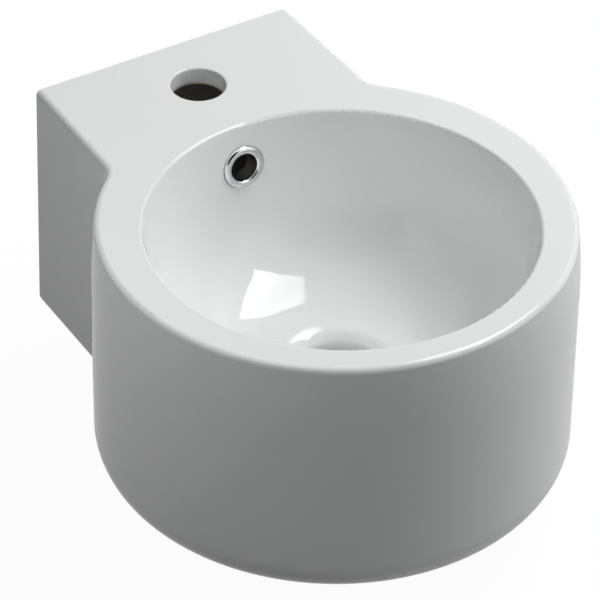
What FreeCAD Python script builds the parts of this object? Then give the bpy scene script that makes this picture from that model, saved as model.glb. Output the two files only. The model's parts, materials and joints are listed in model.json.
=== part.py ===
"""Wall-hung hand basin: ceramic casting, overflow ring and slotted waste with a push plug."""
import FreeCAD, Part
import Sketcher
import math
import os
import re

# Driving sizes, in millimetres: name, value and what it measures
SIZES = [
    ("drum_radius", 150.6, "outer radius of the bowl's drum at its belly, before rounding"),
    ("rim_draw", 2.4, "how much narrower the drum is at the rim"),
    ("belly_drop", 28, "rim to the drum's belly"),
    ("belly_round", 350, "rounding of the drum's belly, upright"),
    ("drum_draft", 1.9, "how much narrower the drum is at its foot, before rounding"),
    ("drum_height", 178, "rim to the underside of the skirt"),
    ("drum_foot_round", 27, "rounding of the skirt's lower edge"),
    ("ledge_depth", 62.4, "back of the drum's belly to the wall"),
    ("ledge_back_half", 91.6, "half width of the tap ledge at the wall"),
    ("ledge_flare", 5.5, "how much wider each side of the ledge would be at the bowl's axis"),
    ("ledge_rise", 10, "underside of the ledge over the underside of the skirt"),
    ("ledge_foot_round", 8, "rounding of the ledge's lower side edges"),
    ("wall_edge_round", 2, "rounding of the ledge's edges at the wall"),
    ("junction_round", 18, "hollow rounding where ledge and bowl meet"),
    ("rim_round", 4, "rounding of the outer top edge"),
    ("skirt_wall", 10, "thickness of the skirt"),
    ("rim_depth", 24, "solid depth of the rim over the hollow skirt"),
    ("base_wall", 10, "thickness of the skirt's turned-in foot"),
    ("base_lip", 21.2, "width of the skirt's turned-in foot inside its wall"),
    ("base_edge_round", 2.5, "rounding of the turned-in foot's inner edges"),
    ("hollow_round", 12, "rounding inside the hollow skirt and ledge"),
    ("deck_thickness", 12, "thickness of the ledge's top"),
    ("ledge_wall", 11, "thickness of the ledge's sides"),
    ("back_wall", 12, "thickness of the wall that is bolted up"),
    ("bowl_shift", 6.3, "bowl's own axis, forward of the drum's"),
    ("rim_width", 28.6, "belly's outer radius less the bowl's inner radius at the rim"),
    ("lip_round", 2, "rounding of the bowl's inner lip"),
    ("bowl_draft", 15.5, "how far the bowl's wall line leans in down to its floor line"),
    ("floor_fall", 6, "fall of the bowl's floor line from wall line to drain"),
    ("bowl_foot_round", 68, "sweep between the bowl's wall and floor"),
    ("bowl_depth", 105, "rim to the edge of the dish around the drain"),
    ("sump_margin", 1, "between the waste's flange and the side of the drain's recess"),
    ("sump_depth", 17, "depth of the drain's recess with its dish"),
    ("sump_round", 4, "rounding of the recess's edge"),
    ("dish_width", 7, "width of the shallow dish around the recess"),
    ("dish_fall", 6, "fall of that dish"),
    ("dish_round", 12, "rounding between the bowl's floor and that dish"),
    ("drain_gap", 1.55, "between the waste and the drain hole"),
    ("shell_wall", 10, "thickness of the bowl"),
    ("boss_wall", 10.5, "thickness of the drain boss at its foot"),
    ("boss_flare", 5, "how much wider the drain boss is at the bowl"),
    ("boss_height", 28, "seat of the waste to the boss's foot"),
    ("boss_round", 6, "hollow rounding between bowl and boss"),
    ("duct_half_width", 12, "half width of the overflow passage"),
    ("duct_depth", 10, "depth of the overflow passage behind the bowl"),
    ("duct_wall", 7, "thickness of the rib around the passage"),
    ("duct_top_drop", 15, "rim to the top of the passage"),
    ("duct_mouth_drop", 9, "seat of the waste to the top of the passage's outlet"),
    ("duct_mouth_height", 12, "height of the passage's outlet in the drain"),
    ("ring_seat_sink", 0.4, "least depth of the overflow ring's flat seat in the bowl's wall"),
    ("overflow_drop", 29, "rim to the centre of the overflow hole"),
    ("tap_hole_radius", 17.5, "radius of the tap hole"),
    ("tap_hole_place", 46, "wall to the centre of the tap hole"),
    ("tap_hole_round", 1.2, "rounding of the tap hole's upper edge"),
    ("fixing_drop", 75, "rim to the wall-bolt holes"),
    ("fixing_spacing", 110, "between the two wall-bolt holes"),
    ("fixing_hole_radius", 7, "radius of a wall-bolt hole"),
    ("ring_width", 5.25, "width of the overflow ring's face"),
    ("ring_opening_radius", 9, "radius of the ring's opening"),
    ("ring_rise", 3, "height of the ring on the bowl's wall"),
    ("ring_land", 0.4, "straight height of the ring's outer edge under its rounding"),
    ("ring_inner_round", 2, "rounding of the ring's inner edge"),
    ("ring_sleeve_wall", 1, "thickness of the ring's sleeve"),
    ("sleeve_spare", 2, "length of the ring's sleeve past its rubber grip"),
    ("grip_length", 8, "length of the rubber grip on the sleeve"),
    ("grip_thickness", 1.5, "between the ring's sleeve and the overflow hole"),
    ("grip_rib_depth", 0.7, "depth of the grooves between the grip's ribs"),
    ("waste_radius", 20.95, "radius of the waste's thread, a 1 1/4 inch pipe size"),
    ("waste_wall", 2.7, "thickness of the waste's tube"),
    ("tail_length", 34, "length of the waste's tail below the thread's undercut"),
    ("flange_width", 6.05, "how far the waste's flange stands out from its tube"),
    ("flange_thickness", 2.5, "thickness of the waste's flange"),
    ("flange_round", 1.2, "rounding of the flange's edge"),
    ("flange_seal_thickness", 2, "thickness of the seal under the flange"),
    ("flange_seal_inset", 1.5, "edge of the flange to the edge of the seal under it"),
    ("seat_width", 4.75, "width of the plug's tapered seat, from throat to mouth"),
    ("seat_height", 5.5, "height of the plug's tapered seat"),
    ("slot_half_width", 9, "half width of a waste's overflow slot"),
    ("slot_round", 3, "rounding of that slot's corners"),
    ("bridge_height", 8, "height of the bridge"),
    ("bridge_half_width", 3, "half thickness of the bridge's arms"),
    ("hub_wall", 3, "thickness of the bridge's hub around the latch's shank"),
    ("undercut_gap", 4.5, "back nut to the thread's undercut"),
    ("undercut_width", 2, "width of the thread's undercut"),
    ("undercut_depth", 0.6, "depth of the thread's undercut"),
    ("lower_seal_height", 5, "height of the tapered seal under the boss"),
    ("lower_seal_width", 10.05, "width of that seal at the boss, from the waste's thread"),
    ("lower_seal_foot_width", 6.05, "width of that seal at the washer, from the waste's thread"),
    ("slip_washer_thickness", 1.5, "thickness of the slip washer"),
    ("slip_washer_width", 8.55, "width of the slip washer, from the waste's thread"),
    ("back_nut_wall", 6.05, "thickness of the back nut at its flats"),
    ("back_nut_height", 8, "height of the back nut"),
    ("back_nut_chamfer", 1.5, "chamfer of the back nut's corners"),
    ("latch_wall", 1.8, "thickness of the latch's barrel"),
    ("latch_bore_radius", 4.8, "inner radius of the latch's barrel"),
    ("latch_gap", 7.3, "lock nut to the latch's cap while the plug is shut"),
    ("latch_floor", 1.5, "thickness of the barrel's floor"),
    ("latch_shank_radius", 5, "radius of the barrel's threaded shank"),
    ("latch_shank_spare", 3, "length of the shank under the bridge"),
    ("latch_cap_thickness", 3, "thickness of the barrel's screw cap"),
    ("latch_cap_spigot", 2.5, "length of the screw cap inside the barrel"),
    ("spindle_radius", 3, "radius of the plug's spindle"),
    ("collar_thickness", 3, "thickness of the collar on the spindle's foot"),
    ("spindle_grip", 4, "length of the spindle's thread in the plug"),
    ("spring_wire_radius", 0.45, "radius of the latch spring's wire"),
    ("spring_length", 8.65, "collar to the barrel's floor while the plug is shut"),
    ("plug_travel", 8, "lift of the plug from shut to open"),
    ("plug_margin", 2, "edge of the plug to the mouth of its seat"),
    ("plug_edge_height", 4, "height of the plug's edge"),
    ("plug_crown", 1.6, "rise of the plug's crown over its edge"),
    ("plug_round", 1.4, "rounding of the plug's upper edge"),
    ("plug_seal_thickness", 2.6, "thickness of the seal under the plug"),
    ("plug_seal_drop", 4.2, "flange's top to the foot of the plug's seal"),
    ("plug_seal_width", 8, "edge of the plug to the bore of the seal under it"),
    ("plug_nut_width", 10, "across the flats of the plug's lock nut"),
    ("plug_nut_height", 4, "height of the plug's lock nut"),
    ("plug_nut_chamfer", 0.5, "chamfer of the lock nut's corners"),
    ("seat_gap", 0.35, "between shut plug and seat, and the latch's running gap"),
    ("screw_gap", 0.05, "between pieces that are screwed or pushed together"),
    ("ring_gap", 0.3, "around the overflow ring in its ceramic seat"),
    ("seal_gap", 0.4, "around the waste's tube in its seals"),
    ("overrun", 2, "length by which every cut passes the surface it opens"),
]
NAMES = {name for name, _, _ in SIZES}
SPRING_TURNS = 6
GRIP_RIBS = 3
NUT_CORNERS = 6
NUT_BEVEL = 30
FULL_TURN = 360
TOUCH = 1e-4

# Sizes that follow from the driving ones, as radii and depths under the rim
DRUM_FOOT = "(drum_radius - drum_draft)"
WALL = "(drum_radius + ledge_depth)"
LEDGE_HEIGHT = "(drum_height - ledge_rise)"
LEDGE_FRONT = "(ledge_back_half + ledge_flare)"
BASE_OPENING = f"({DRUM_FOOT} - skirt_wall - base_lip)"
MOUTH = "(drum_radius - rim_width)"
BOWL_FOOT = f"({MOUTH} - bowl_draft)"
FLOOR_START = "(bowl_depth - floor_fall)"
BOWL_LEAN = f"(bowl_draft / {FLOOR_START})"
SEAT = "(bowl_depth + sump_depth)"
BOSS_FOOT = f"({SEAT} + boss_height)"
DRAIN = "(waste_radius + drain_gap)"
BOSS = f"({DRAIN} + boss_wall)"
OVERFLOW_PLACE = f"({MOUTH} - overflow_drop * {BOWL_LEAN} - bowl_shift + ring_seat_sink)"
RING = "(ring_opening_radius + ring_width)"
RING_SLEEVE = "(ring_opening_radius + ring_sleeve_wall)"
SLEEVE_LENGTH = "(grip_length + sleeve_spare)"
OVERFLOW_HOLE = f"({RING_SLEEVE} + grip_thickness)"
FLANGE = "(waste_radius + flange_width)"
FLANGE_FOOT = f"({SEAT} - flange_seal_thickness)"
FLANGE_TOP = f"({FLANGE_FOOT} - flange_thickness)"
SUMP = f"({FLANGE} + sump_margin)"
THROAT = "(waste_radius - waste_wall)"
SEAT_MOUTH = f"({THROAT} + seat_width)"
SEAT_LEAN = "(seat_width / seat_height)"
SEAL_BORE = "(waste_radius + seal_gap)"
SLIP_WASHER_TOP = f"({BOSS_FOOT} + lower_seal_height)"
BACK_NUT_TOP = f"({SLIP_WASHER_TOP} + slip_washer_thickness)"
UNDERCUT = f"({BACK_NUT_TOP} + back_nut_height + undercut_gap)"
SPIGOT_FOOT = f"({FLANGE_TOP} + plug_seal_drop)"
PLUG_FOOT = f"({SPIGOT_FOOT} - plug_seal_thickness)"
PLUG = f"({SEAT_MOUTH} - plug_margin)"
PLUG_SEAL_BORE = f"({PLUG} - plug_seal_width)"
SPIGOT = f"({PLUG_SEAL_BORE} - screw_gap)"
SPINDLE_TOP = f"({SPIGOT_FOOT} - spindle_grip)"
LATCH = "(latch_bore_radius + latch_wall)"
LATCH_TOP = f"({SPIGOT_FOOT} + plug_nut_height + latch_gap + latch_cap_thickness)"
COLLAR_TOP = f"({LATCH_TOP} + latch_cap_spigot + seat_gap + plug_travel)"
COLLAR_FOOT = f"({COLLAR_TOP} + collar_thickness)"
LATCH_FLOOR = f"({COLLAR_FOOT} + spring_length)"
BRIDGE_TOP = f"({LATCH_FLOOR} + latch_floor)"

doc = FreeCAD.newDocument("hand_basin")
sheet = doc.addObject("Spreadsheet::Sheet", "sizes")
for row, (name, size, meaning) in enumerate(SIZES, 1):
    sheet.set(f"A{row}", name)
    sheet.set(f"B{row}", str(size))
    sheet.setAlias(f"B{row}", name)
    sheet.set(f"C{row}", meaning)
doc.recompute()


# Formulas over the sheet
def formula(text):
    """The text as an expression, with the sheet's name before each size."""
    return re.sub(r"[a-z][a-z_]+", lambda word: ("sizes." if word[0] in NAMES else "") + word[0], text)


def value(text):
    """What a formula comes to with the sheet's present sizes."""
    return float(sheet.evalExpression(formula(text)))


def bind(owner, target, text):
    """Tie one property of an object to a formula."""
    owner.setExpression(target, formula(text))


# Bodies and sketches
def new_body(label, back="0", up="0"):
    """An empty body for one sub-part, placed from the drum's axis at the rim."""
    body = doc.addObject("PartDesign::Body", label)
    body.Label = label
    bind(body, "Placement.Base.y", f"{back} - {WALL}")
    bind(body, "Placement.Base.z", f"{up} + fixing_drop")
    return body


def drain_body(label):
    """An empty body on the bowl's own axis, which the drain shares."""
    return new_body(label, back="-bowl_shift")


def sketch_on(body, role, name, offset=("0", "0", "0")):
    """A sketch on one of the body's own planes, moved within that plane's axes."""
    sketch = body.newObject("Sketcher::SketchObject", name)
    plane = next(item for item in body.Origin.OriginFeatures if item.Role == role)
    sketch.AttachmentSupport = [(plane, "")]
    sketch.MapMode = "FlatFace"
    for axis, text in zip("xyz", offset):
        bind(sketch, f"AttachmentOffset.Base.{axis}", text)
    return sketch


def tilt(owner, target, angle):
    """Turn a placement about its own X axis by an angle given as a formula."""
    turned = FreeCAD.Rotation(FreeCAD.Vector(1, 0, 0), value(angle))
    setattr(owner, target, FreeCAD.Placement(getattr(owner, target).Base, turned))
    bind(owner, f"{target}.Rotation.Angle", angle)


def pin_point(sketch, item, end, place):
    """Hold one point of a sketch at a place given by two formulas."""
    for kind, axis, text in zip(("DistanceX", "DistanceY"), (-2, -1), place):
        distance = value(text)
        if distance:
            rule = sketch.addConstraint(Sketcher.Constraint(kind, -1, 1, item, end, distance))
            bind(sketch, f"Constraints[{rule}]", text)
        else:
            sketch.addConstraint(Sketcher.Constraint("PointOnObject", item, end, axis))


def corner_arc(sketch, corner, before, after, directions, text):
    """Round one corner between two lines of a sketch by an arc that touches both."""
    back, ahead = directions
    radius = value(text)
    half = back.getAngle(ahead) / 2
    centre = corner + (back + ahead).normalize() * (radius / math.sin(half))
    tangents = [corner + way * (radius / math.tan(half)) - centre for way in directions]
    turns_left = back.cross(ahead).z < 0
    start, stop = tangents if turns_left else reversed(tangents)
    circle = Part.Circle(centre, FreeCAD.Vector(0, 0, 1), radius)
    arc = Part.ArcOfCircle(circle, math.atan2(start.y, start.x), math.atan2(stop.y, stop.x))
    item = sketch.addGeometry(arc, False)
    first, last = (1, 2) if turns_left else (2, 1)
    sketch.addConstraint(Sketcher.Constraint("Tangent", before, 2, item, first))
    sketch.addConstraint(Sketcher.Constraint("Tangent", item, last, after, 1))
    rule = sketch.addConstraint(Sketcher.Constraint("Radius", item, radius))
    bind(sketch, f"Constraints[{rule}]", text)


def draw_outline(sketch, corners):
    """A closed outline through corners of two formulas, or three where the corner is rounded."""
    points = [FreeCAD.Vector(value(corner[0]), value(corner[1])) for corner in corners]
    count = len(corners)
    ways = []
    for n in range(count):
        back = (points[n - 1] - points[n]).normalize()
        ahead = (points[(n + 1) % count] - points[n]).normalize()
        ways.append((back, ahead))
    trims = []
    for corner, (back, ahead) in zip(corners, ways):
        radius = value(corner[2]) if len(corner) > 2 else 0
        trims.append(radius / math.tan(back.getAngle(ahead) / 2))
    lines = []
    for n in range(count):
        follower = (n + 1) % count
        start = points[n] + ways[n][1] * trims[n]
        stop = points[follower] + ways[follower][0] * trims[follower]
        lines.append(sketch.addGeometry(Part.LineSegment(start, stop), False))
    for n, corner in enumerate(corners):
        before, after = lines[n - 1], lines[n]
        if len(corner) > 2:
            corner_arc(sketch, points[n], before, after, ways[n], corner[2])
            mark = sketch.addGeometry(Part.Point(points[n]), True)
            for line in (before, after):
                sketch.addConstraint(Sketcher.Constraint("PointOnObject", mark, 1, line))
            pin_point(sketch, mark, 1, corner)
        else:
            sketch.addConstraint(Sketcher.Constraint("Coincident", before, 2, after, 1))
            pin_point(sketch, after, 1, corner)


def draw_circle(sketch, radius, place=("0", "0")):
    """A circle of a given radius, centred at a place given by two formulas."""
    centre = FreeCAD.Vector(value(place[0]), value(place[1]))
    circle = Part.Circle(centre, FreeCAD.Vector(0, 0, 1), value(radius))
    item = sketch.addGeometry(circle, False)
    pin_point(sketch, item, 3, place)
    rule = sketch.addConstraint(Sketcher.Constraint("Radius", item, value(radius)))
    bind(sketch, f"Constraints[{rule}]", radius)


# Features
def add_feature(body, kind, name, sketch, settings):
    """One feature made from a sketch. A cut has to take something away, and a pad to add."""
    before = body.Tip.Shape.Volume if body.Tip and body.Tip.isDerivedFrom("PartDesign::Feature") else 0
    feature = body.newObject(f"PartDesign::{kind}", name)
    feature.Profile = sketch
    for target, setting in settings.items():
        setattr(feature, target, setting)
    doc.recompute()
    change = feature.Shape.Volume - before
    if change == 0 or (change < 0) != (kind in ("Groove", "Pocket")):
        raise RuntimeError(f"{name} changes the volume by {change}")
    return feature


def turn(body, kind, name, corners, offset=("0", "0", "0")):
    """Turn a half section, in radius and height, about the upright axis of its sketch."""
    sketch = sketch_on(body, "XZ_Plane", f"{name}_section", offset)
    draw_outline(sketch, corners)
    axis = {"ReferenceAxis": (sketch, ["V_Axis"]), "Angle": FULL_TURN}
    return add_feature(body, kind, name, sketch, axis)


def extrude(body, kind, name, sketch, length, **settings):
    """Pad or pocket a sketch by a length given as a formula."""
    feature = add_feature(body, kind, name, sketch, {"Length": value(length), **settings})
    bind(feature, "Length", length)
    doc.recompute()
    return feature


def edges_where(shape, chosen):
    """Names of a shape's edges that pass a test."""
    return [f"Edge{n}" for n, edge in enumerate(shape.Edges, 1) if chosen(edge)]


def dress_edges(body, kind, name, chosen, target, text):
    """Round or chamfer the edges of the body's present shape that pass a test."""
    base = body.Tip
    names = edges_where(base.Shape, chosen)
    if not names:
        raise RuntimeError(f"{name} finds no edge")
    feature = body.newObject(f"PartDesign::{kind}", name)
    feature.Base = (base, names)
    setattr(feature, target, value(text))
    bind(feature, target, text)
    doc.recompute()
    return feature


def round_edges(body, name, chosen, radius):
    """Round the edges of the body's present shape that pass a test."""
    return dress_edges(body, "Fillet", name, chosen, "Radius", radius)


def lies_at(height):
    """A test for edges that lie at one height, given as a formula."""
    level = value(height)
    return lambda edge: max(abs(edge.BoundBox.ZMin - level), abs(edge.BoundBox.ZMax - level)) < TOUCH


def is_circle(radius, height):
    """A test for whole circles of one radius at one height, both given as formulas."""
    size = value(radius)
    level = lies_at(height)
    return lambda edge: level(edge) and edge.Closed and abs(edge.Length - math.tau * size) < TOUCH


def tube(inner, outer, top, foot):
    """The half section of a plain ring between two depths under the rim."""
    return [(inner, f"-{top}"), (inner, f"-{foot}"), (outer, f"-{foot}"), (outer, f"-{top}")]


def hexagon(width):
    """Corners of a hexagon of a given width across its flats."""
    steps = [FULL_TURN / NUT_CORNERS * n for n in range(NUT_CORNERS)]
    reach = f"{width} / sqrt(3)"
    return [(f"{reach} * cos({angle})", f"{reach} * sin({angle})") for angle in steps]


# Ceramic casting
def outer_form(body):
    """The casting's outside: ledge block and bowl drum, with their rounded edges."""
    plan = sketch_on(body, "XY_Plane", "ledge_plan")
    draw_outline(plan, [
        ("-ledge_back_half", WALL), (f"-{LEDGE_FRONT}", "0"),
        (LEDGE_FRONT, "0"), ("ledge_back_half", WALL),
    ])
    extrude(body, "Pad", "ledge", plan, LEDGE_HEIGHT, Reversed=True)
    at_foot = lies_at(f"-{LEDGE_HEIGHT}")
    at_side = lambda edge: at_foot(edge) and edge.BoundBox.YLength > TOUCH
    ledge = round_edges(body, "ledge_foot", at_side, "ledge_foot_round").Shape
    turn(body, "Revolution", "drum", [
        ("0", "0"), ("0", "-drum_height"),
        (DRUM_FOOT, "-drum_height", "drum_foot_round"), ("drum_radius", "-belly_drop", "belly_round"),
        ("drum_radius - rim_draw", "0"),
    ])
    at_rim = lies_at("0")
    drum_radius, drum_foot = value("drum_radius"), value("-drum_height")

    def is_junction(edge):
        """Where the ledge runs into the drum, below the rim."""
        middle = edge.valueAt((edge.FirstParameter + edge.LastParameter) / 2)
        on_drum = math.hypot(middle.x, middle.y) < drum_radius and middle.z > drum_foot
        on_ledge = ledge.distToShape(Part.Vertex(middle))[0] < TOUCH
        return on_drum and on_ledge and middle.y > TOUCH and not at_rim(edge)

    round_edges(body, "junction", is_junction, "junction_round")
    wall = value(WALL)
    at_wall = lambda edge: edge.BoundBox.YMin > wall - TOUCH
    off_wall = lambda edge: at_rim(edge) and not at_wall(edge)
    round_edges(body, "rim_edge", off_wall, "rim_round")
    round_edges(body, "wall_edge", at_wall, "wall_edge_round")


def hollows(body):
    """The hollow skirt, open below, and the hollow ledge behind it."""
    turn(body, "Groove", "skirt_hollow", [
        ("0", "-rim_depth"), ("drum_radius - skirt_wall", "-rim_depth"),
        (f"{DRUM_FOOT} - skirt_wall", "base_wall - drum_height", "hollow_round"),
        (BASE_OPENING, "base_wall - drum_height", "base_edge_round"),
        (BASE_OPENING, "-drum_height", "base_edge_round"),
        (f"{BASE_OPENING} + base_edge_round + overrun", "-drum_height"),
        (f"{BASE_OPENING} + base_edge_round + overrun", "-drum_height - overrun"),
        ("0", "-drum_height - overrun"),
    ])
    plan = sketch_on(body, "XY_Plane", "ledge_hollow_plan", ("0", "0", "-deck_thickness"))
    draw_outline(plan, [
        ("ledge_wall - ledge_back_half", f"{WALL} - back_wall", "hollow_round"),
        ("ledge_wall - ledge_back_half", "0"), ("ledge_back_half - ledge_wall", "0"),
        ("ledge_back_half - ledge_wall", f"{WALL} - back_wall", "hollow_round"),
    ])
    extrude(body, "Pocket", "ledge_hollow", plan, "drum_height")


def bowl_wall(outset):
    """The bowl's wall line and sweep, set outwards by a formula, as corners of a half section."""
    return [
        (f"{MOUTH} + {outset}", "0"),
        (f"{BOWL_FOOT} + {outset}", f"-{FLOOR_START} - {outset}", f"bowl_foot_round + {outset}"),
    ]


def bowl(body):
    """The bowl's shell with its drain boss and overflow rib, then the inside and the passage."""
    on_axis = ("0", "0", "bowl_shift")
    turn(body, "Revolution", "bowl_shell", [
        ("0", "0"), *bowl_wall("shell_wall"),
        (f"{BOSS} + boss_flare", "-bowl_depth - shell_wall", "boss_round"),
        (BOSS, f"-{BOSS_FOOT}"), ("0", f"-{BOSS_FOOT}"),
    ], on_axis)
    beside_axis = ("-bowl_shift", "0", "0")
    rib = sketch_on(body, "YZ_Plane", "rib_section", beside_axis)
    draw_outline(rib, [
        ("0", "0"), *bowl_wall("shell_wall + duct_depth + duct_wall"), ("0", f"-{BOSS_FOOT}"),
    ])
    extrude(body, "Pad", "overflow_rib", rib, "2 * (duct_half_width + duct_wall)", Midplane=True)
    turn(body, "Groove", "bowl_inside", [
        ("0", "overrun"), (MOUTH, "overrun"), *bowl_wall("0"),
        (f"{SUMP} + dish_width", "-bowl_depth", "dish_round"),
        (SUMP, "-bowl_depth - dish_fall", "sump_round"), (SUMP, f"-{SEAT}"),
        (DRAIN, f"-{SEAT}"), (DRAIN, f"-{BOSS_FOOT} - overrun"),
        ("0", f"-{BOSS_FOOT} - overrun"),
    ], on_axis)
    passage = sketch_on(body, "YZ_Plane", "passage_section", beside_axis)
    inner, outer = bowl_wall("shell_wall"), bowl_wall("shell_wall + duct_depth")
    mouth = f"{SEAT} + duct_mouth_drop"
    draw_outline(passage, [
        (f"{inner[0][0]} - duct_top_drop * {BOWL_LEAN}", "-duct_top_drop"), inner[1],
        ("0", f"-({mouth})"), ("0", f"-({mouth} + duct_mouth_height)"), outer[1],
        (f"{outer[0][0]} - duct_top_drop * {BOWL_LEAN}", "-duct_top_drop"),
    ])
    extrude(body, "Pocket", "overflow_passage", passage, "2 * duct_half_width", Midplane=True)


def holes(body):
    """Overflow hole with the ring's flat seat, tap hole and wall-bolt holes."""
    on_wall = ("0", "-overflow_drop", f"-{OVERFLOW_PLACE}")
    seat = sketch_on(body, "XZ_Plane", "ring_seat_plan", on_wall)
    tilt(seat, "AttachmentOffset", f"-atan({BOWL_LEAN})")
    draw_circle(seat, f"{RING} + ring_gap")
    extrude(body, "Pocket", "ring_seat", seat, "ring_rise", Reversed=True)
    hole = sketch_on(body, "XZ_Plane", "overflow_hole_plan", on_wall)
    tilt(hole, "AttachmentOffset", f"-atan({BOWL_LEAN})")
    draw_circle(hole, OVERFLOW_HOLE)
    extrude(body, "Pocket", "overflow_hole", hole, "shell_wall + duct_depth / 2")
    tap = sketch_on(body, "XY_Plane", "tap_hole_plan")
    draw_circle(tap, "tap_hole_radius", ("0", f"{WALL} - tap_hole_place"))
    extrude(body, "Pocket", "tap_hole", tap, "deck_thickness + overrun")
    fixing = sketch_on(body, "XZ_Plane", "fixing_plan", ("0", "-fixing_drop", f"-{WALL}"))
    for side in ("-", ""):
        draw_circle(fixing, "fixing_hole_radius", (f"{side}fixing_spacing / 2", "0"))
    extrude(body, "Pocket", "fixing_holes", fixing, "back_wall + overrun", Reversed=True)


def basin_casting():
    """Bowl, rim, skirt and tap ledge in one ceramic piece."""
    body = new_body("basin_casting")
    outer_form(body)
    hollows(body)
    bowl(body)
    holes(body)
    round_edges(body, "bowl_lip", is_circle(MOUTH, "0"), "lip_round")
    round_edges(body, "tap_hole_edge", is_circle("tap_hole_radius", "0"), "tap_hole_round")
    return body


# Overflow ring
def ring_body(label):
    """An empty body whose axis stands square on the bowl's back wall at the overflow."""
    body = new_body(label, back=OVERFLOW_PLACE, up="-overflow_drop")
    tilt(body, "Placement", f"atan(1 / {BOWL_LEAN})")
    return body


def overflow_ring():
    """Rounded trim ring with the sleeve that goes into the ceramic hole."""
    body = ring_body("overflow_ring")
    turn(body, "Revolution", "ring", [
        ("ring_opening_radius", f"-{SLEEVE_LENGTH}"), (RING_SLEEVE, f"-{SLEEVE_LENGTH}"),
        (RING_SLEEVE, "0"), (RING, "0"), (RING, "ring_rise", "ring_rise - ring_land"),
        ("ring_opening_radius", "ring_rise", "ring_inner_round"),
    ])
    return body


def overflow_grip():
    """Ribbed rubber sleeve between the ring's sleeve and the ceramic hole."""
    body = ring_body("overflow_grip")
    inner, outer = f"{RING_SLEEVE} + screw_gap", f"{OVERFLOW_HOLE} - screw_gap"
    turn(body, "Revolution", "sleeve", [
        (inner, "0"), (inner, "-grip_length"), (outer, "-grip_length"), (outer, "0"),
    ])
    steps = 2 * GRIP_RIBS - 1
    for n in range(1, steps, 2):
        top, foot = (f"-grip_length * {step} / {steps}" for step in (n, n + 1))
        turn(body, "Groove", f"groove_{n}", [
            (f"{outer} - grip_rib_depth", top), (f"{outer} - grip_rib_depth", foot),
            (f"{outer} + overrun", foot), (f"{outer} + overrun", top),
        ])
    return body


# Waste
def flange_seal():
    """Flat rubber ring between the waste's flange and the recess's floor."""
    body = drain_body("flange_seal")
    turn(body, "Revolution", "seal", tube(SEAL_BORE, f"{FLANGE} - flange_seal_inset", FLANGE_FOOT, SEAT))
    return body


def waste_body():
    """Flanged, slotted waste with the plug's tapered seat and the bridge for its latch."""
    body = drain_body("waste_body")
    tail_top = f"({UNDERCUT} + undercut_width)"
    tail_foot = f"({tail_top} + tail_length)"
    relief = "waste_radius - undercut_depth"
    turn(body, "Revolution", "shell", [
        (THROAT, f"-{tail_foot}"), ("waste_radius", f"-{tail_foot}"),
        ("waste_radius", f"-{tail_top}"), (relief, f"-{tail_top}"),
        (relief, f"-{UNDERCUT}"), ("waste_radius", f"-{UNDERCUT}"), ("waste_radius", f"-{FLANGE_FOOT}"),
        (FLANGE, f"-{FLANGE_FOOT}"), (FLANGE, f"-{FLANGE_TOP}", "flange_round"),
        (SEAT_MOUTH, f"-{FLANGE_TOP}"), (THROAT, f"-({FLANGE_TOP} + seat_height)"),
    ])
    slots = sketch_on(body, "XZ_Plane", "slot_plan")
    top = f"-({SEAT} + duct_mouth_drop)"
    foot = f"{top} - duct_mouth_height"
    draw_outline(slots, [
        (f"{side}slot_half_width", height, "slot_round")
        for side, height in (("-", top), ("-", foot), ("", foot), ("", top))
    ])
    extrude(body, "Pocket", "slots", slots, "2 * (waste_radius + overrun)", Midplane=True)
    at_bridge = ("0", "0", f"-{BRIDGE_TOP}")
    arms = sketch_on(body, "XY_Plane", "arms_plan", at_bridge)
    reach = f"({THROAT} + waste_radius) / 2"
    draw_outline(arms, [
        (f"-{reach}", "-bridge_half_width"), (reach, "-bridge_half_width"),
        (reach, "bridge_half_width"), (f"-{reach}", "bridge_half_width"),
    ])
    extrude(body, "Pad", "arms", arms, "bridge_height", Reversed=True)
    hub = sketch_on(body, "XY_Plane", "hub_plan", at_bridge)
    draw_circle(hub, "latch_shank_radius + hub_wall")
    extrude(body, "Pad", "hub", hub, "bridge_height", Reversed=True)
    bore = sketch_on(body, "XY_Plane", "hub_bore_plan", at_bridge)
    draw_circle(bore, "latch_shank_radius + screw_gap")
    extrude(body, "Pocket", "hub_bore", bore, "bridge_height + overrun")
    return body


def lower_seal():
    """Tapered rubber washer under the ceramic boss."""
    body = drain_body("lower_seal")
    turn(body, "Revolution", "seal", [
        (SEAL_BORE, f"-{BOSS_FOOT}"), (SEAL_BORE, f"-{SLIP_WASHER_TOP}"),
        ("waste_radius + lower_seal_foot_width", f"-{SLIP_WASHER_TOP}"),
        ("waste_radius + lower_seal_width", f"-{BOSS_FOOT}"),
    ])
    return body


def slip_washer():
    """Nylon washer that lets the nut turn on the seal."""
    body = drain_body("slip_washer")
    outer = "waste_radius + slip_washer_width"
    turn(body, "Revolution", "washer", tube(SEAL_BORE, outer, SLIP_WASHER_TOP, BACK_NUT_TOP))
    return body


def hex_nut(label, width, bore, top, height, chamfer):
    """A bored hexagon nut, its upper and lower corners turned off at an angle."""
    body = drain_body(label)
    plan = sketch_on(body, "XY_Plane", "nut_plan", ("0", "0", f"-{top}"))
    draw_outline(plan, hexagon(width))
    extrude(body, "Pad", "nut", plan, height, Reversed=True)
    hole = sketch_on(body, "XY_Plane", "bore_plan", ("0", "0", f"-{top}"))
    draw_circle(hole, bore)
    extrude(body, "Pocket", "bore", hole, f"{height} + overrun")
    foot = f"({top} + {height})"
    corner = f"{width} / sqrt(3)"
    for name, level, inward in (("upper_corners", top, "+"), ("lower_corners", foot, "-")):
        turn(body, "Groove", name, [
            (f"{corner} - {chamfer}", f"-{level}"), (f"{corner} + overrun", f"-{level}"),
            (f"{corner} + overrun", f"-({level} {inward} ({chamfer} + overrun) * tan({NUT_BEVEL}))"),
        ])
    return body


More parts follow.
